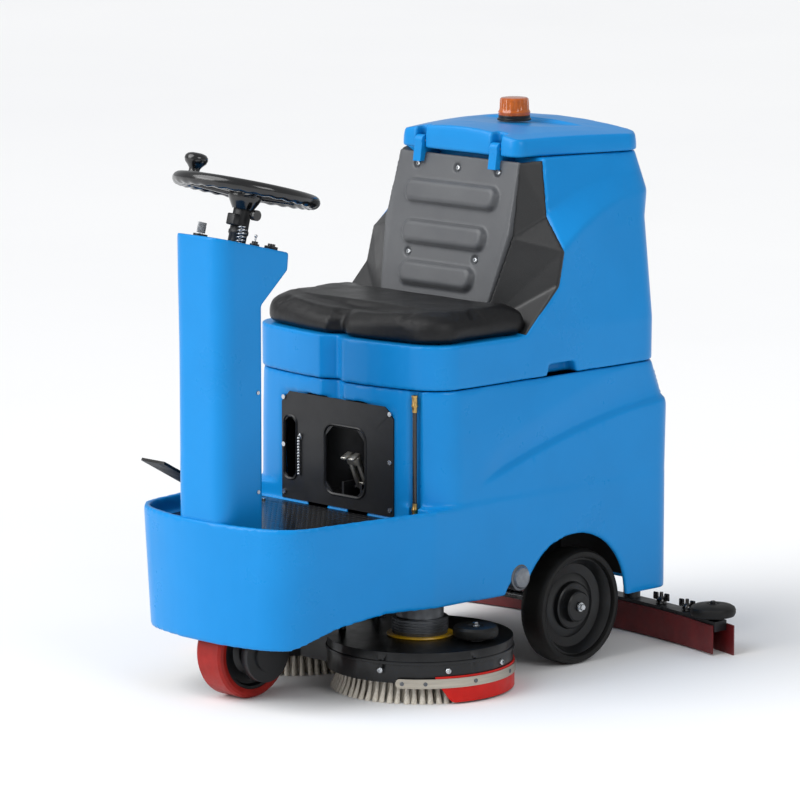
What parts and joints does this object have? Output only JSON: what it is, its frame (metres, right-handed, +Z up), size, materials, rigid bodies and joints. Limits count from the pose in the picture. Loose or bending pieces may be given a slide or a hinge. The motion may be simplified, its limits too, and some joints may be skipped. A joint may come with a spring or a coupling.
{
  "type": "ride-on floor scrubber",
  "caption": "Ride-on floor scrubber: bumper platform with steering column and tipping seat tank, disc brush deck, red driven front wheel, black rear wheels and curved rear squeegee.",
  "frame": {"origin": "on the floor, under the middle of the machine's box", "axes": "+Z up, the front faces -Y, the driver's left is +X"},
  "size_m": [0.94, 1.2206, 1.1955],
  "materials": {
    "blue_polyethylene": "rotomoulded, satin gloss",
    "black_plastic": "moulded, fine grain",
    "grey_backrest": "leather-grained moulding",
    "seat_vinyl": "soft vinyl",
    "black_steel": "powder coated",
    "bright_steel": "brushed stainless",
    "grey_metal": "cast, painted",
    "rubber_black": "moulded rubber",
    "rubber_mat": "studded mat",
    "red_polyurethane": "cast tread",
    "red_skirt": "polyurethane sheet",
    "red_blade": "rubber sheet",
    "bristle_nylon": "nylon tufts",
    "amber_lens": "clear amber",
    "brass_fitting": "turned",
    "battery_case": "polypropylene"
  },
  "bodies": {
    "machine": {"lower_body": "blue_polyethylene", "chassis_frame": "black_steel", "platform_mat": "rubber_mat", "kick_panel": "black_steel", "cover_screws": "bright_steel", "column_cover": "blue_polyethylene", "dash_switches": "grey_metal", "pedal_bracket": "black_steel", "rear_axle": "bright_steel", "batteries": "battery_case", "lift_actuator": "grey_metal", "level_tube": "brass_fitting", "water_filter": "grey_metal"},
    "tilt_column": {"steering_tube": "black_steel", "column_spring": "bright_steel", "clamp_knob": "black_plastic"},
    "hand_wheel": {"steering_wheel": "black_plastic"},
    "spinner": {"spinner_knob": "black_plastic"},
    "lower_shaft": {"steering_shaft": "grey_metal"},
    "fork": {"steer_fork": "black_steel", "drive_motor": "black_steel"},
    "front_wheel": {"front_tyre": "red_polyurethane", "front_hub": "black_plastic", "front_axle": "bright_steel"},
    "rear_wheel_left": {"rear_tyre_left": "rubber_black", "rear_hub_left": "black_plastic"},
    "rear_wheel_right": {"rear_tyre_right": "rubber_black", "rear_hub_right": "black_plastic"},
    "key": {"ignition_key": "black_plastic"},
    "toggle": {"toggle_lever": "black_plastic"},
    "horn": {"horn_button": "grey_metal"},
    "pedal": {"accelerator_pedal": "black_steel"},
    "deck": {"brush_deck": "black_plastic", "brush_motors": "grey_metal", "deck_skirts": "red_skirt", "skirt_straps": "bright_steel", "actuator_rod": "bright_steel"},
    "brush_left": {"brush_block_left": "black_plastic", "bristles_left": "bristle_nylon"},
    "brush_right": {"brush_block_right": "black_plastic", "bristles_right": "bristle_nylon"},
    "deck_wheel_left": {"deck_roller_left": "rubber_black"},
    "deck_wheel_right": {"deck_roller_right": "rubber_black"},
    "squeegee_arm": {"squeegee_bracket": "grey_metal"},
    "squeegee": {"squeegee_frame": "black_plastic", "blade_front": "red_blade", "blade_rear": "red_blade"},
    "squeegee_wheel_left": {"squeegee_roller_left": "rubber_black"},
    "squeegee_wheel_right": {"squeegee_roller_right": "rubber_black"},
    "upper_tank": {"recovery_tank": "blue_polyethylene", "seat_surround": "grey_backrest", "seat_cushion": "seat_vinyl", "seat_screws": "black_steel", "hinge_pins": "bright_steel", "vacuum_motor": "black_plastic", "drain_cap": "black_plastic"},
    "lid": {"tank_lid": "blue_polyethylene", "beacon_base": "black_plastic", "beacon_lens": "amber_lens"},
    "lever": {"lift_lever": "bright_steel"}
  },
  "joints": [
    {"name": "column_tilt", "type": "hinge", "parent": "machine", "child": "tilt_column", "pos_m": [0, -0.494, 0.942], "axis": [1, 0, 0], "range_deg": [-8, 8]},
    {"name": "fork_steer", "type": "hinge", "parent": "machine", "child": "fork", "pos_m": [0, -0.48, 0.292], "axis": [0, 0, 1], "range_deg": [-70, 70]},
    {"name": "hand_wheel_turn", "type": "hinge", "parent": "tilt_column", "child": "hand_wheel", "pos_m": [0, -0.494, 0.942], "axis": [0, 0.2588, 0.9659], "range_deg": [-140, 140]},
    {"name": "spinner_turn", "type": "hinge", "parent": "hand_wheel", "child": "spinner", "pos_m": [-0.13689, -0.48048, 1.0857], "axis": [0, 0.2588, 0.9659], "continuous": true},
    {"name": "lower_shaft_turn", "type": "hinge", "parent": "machine", "child": "lower_shaft", "pos_m": [0, -0.545, 0.326], "axis": [0, 0.0825, 0.9966], "range_deg": [-140, 140]},
    {"name": "front_wheel_roll", "type": "hinge", "parent": "fork", "child": "front_wheel", "pos_m": [0, -0.48, 0.1], "axis": [1, 0, 0], "continuous": true},
    {"name": "rear_wheel_left_roll", "type": "hinge", "parent": "machine", "child": "rear_wheel_left", "pos_m": [0.262, 0.238, 0.125], "axis": [1, 0, 0], "continuous": true},
    {"name": "rear_wheel_right_roll", "type": "hinge", "parent": "machine", "child": "rear_wheel_right", "pos_m": [-0.262, 0.238, 0.125], "axis": [1, 0, 0], "continuous": true},
    {"name": "key_turn", "type": "hinge", "parent": "machine", "child": "key", "pos_m": [-0.04, -0.55556, 0.96959], "axis": [0, 0.2483, 0.9687], "range_deg": [-60, 0]},
    {"name": "toggle_flip", "type": "hinge", "parent": "machine", "child": "toggle", "pos_m": [0.048, -0.48483, 0.95559], "axis": [1, 0, 0], "range_deg": [-8, 8]},
    {"name": "horn_press", "type": "slide", "parent": "machine", "child": "horn", "axis": [0, -0.2483, -0.9687], "range_m": [0, 0.003], "stiffness_N_per_m": 400, "springref_m": -0.001},
    {"name": "pedal_press", "type": "hinge", "parent": "machine", "child": "pedal", "pos_m": [0, -0.4, 0.377], "axis": [1, 0, 0], "range_deg": [0, 12], "stiffness_Nm_per_rad": 10, "springref_deg": -17.19},
    {"name": "deck_raise", "type": "slide", "parent": "machine", "child": "deck", "axis": [0, 0, 1], "range_m": [0, 0.03]},
    {"name": "brush_left_spin", "type": "hinge", "parent": "deck", "child": "brush_left", "pos_m": [0.192, -0.148, 0.06], "axis": [0, 0, 1], "continuous": true},
    {"name": "brush_right_spin", "type": "hinge", "parent": "deck", "child": "brush_right", "pos_m": [-0.192, -0.148, 0.06], "axis": [0, 0, 1], "continuous": true},
    {"name": "deck_wheel_left_spin", "type": "hinge", "parent": "deck", "child": "deck_wheel_left", "pos_m": [0.32, -0.112, 0.13], "axis": [0, 0, 1], "continuous": true},
    {"name": "deck_wheel_right_spin", "type": "hinge", "parent": "deck", "child": "deck_wheel_right", "pos_m": [-0.32, -0.112, 0.13], "axis": [0, 0, 1], "continuous": true},
    {"name": "squeegee_raise", "type": "hinge", "parent": "machine", "child": "squeegee_arm", "pos_m": [0, 0.428, 0.172], "axis": [1, 0, 0], "range_deg": [0, 7]},
    {"name": "squeegee_swing", "type": "hinge", "parent": "squeegee_arm", "child": "squeegee", "pos_m": [0, 0.542, 0.094], "axis": [0, 0, 1], "range_deg": [-12, 12]},
    {"name": "squeegee_wheel_left_spin", "type": "hinge", "parent": "squeegee", "child": "squeegee_wheel_left", "pos_m": [0.412, 0.53204, 0.09], "axis": [0, 0, 1], "continuous": true},
    {"name": "squeegee_wheel_right_spin", "type": "hinge", "parent": "squeegee", "child": "squeegee_wheel_right", "pos_m": [-0.412, 0.53204, 0.09], "axis": [0, 0, 1], "continuous": true},
    {"name": "tank_tip", "type": "hinge", "parent": "machine", "child": "upper_tank", "pos_m": [-0.322, 0, 0.635], "axis": [0, -1, 0], "range_deg": [0, 60]},
    {"name": "lid_open", "type": "hinge", "parent": "upper_tank", "child": "lid", "pos_m": [0, 0.164, 1.104], "axis": [1, 0, 0], "range_deg": [0, 80]},
    {"name": "lever_pull", "type": "hinge", "parent": "machine", "child": "lever", "pos_m": [0.042, -0.166, 0.407], "axis": [1, 0, 0], "range_deg": [-8, 18]}
  ],
  "couplings": [
    {"joint": "hand_wheel_turn", "follows": "fork_steer", "ratio": 2},
    {"joint": "lower_shaft_turn", "follows": "fork_steer", "ratio": 2}
  ]
}
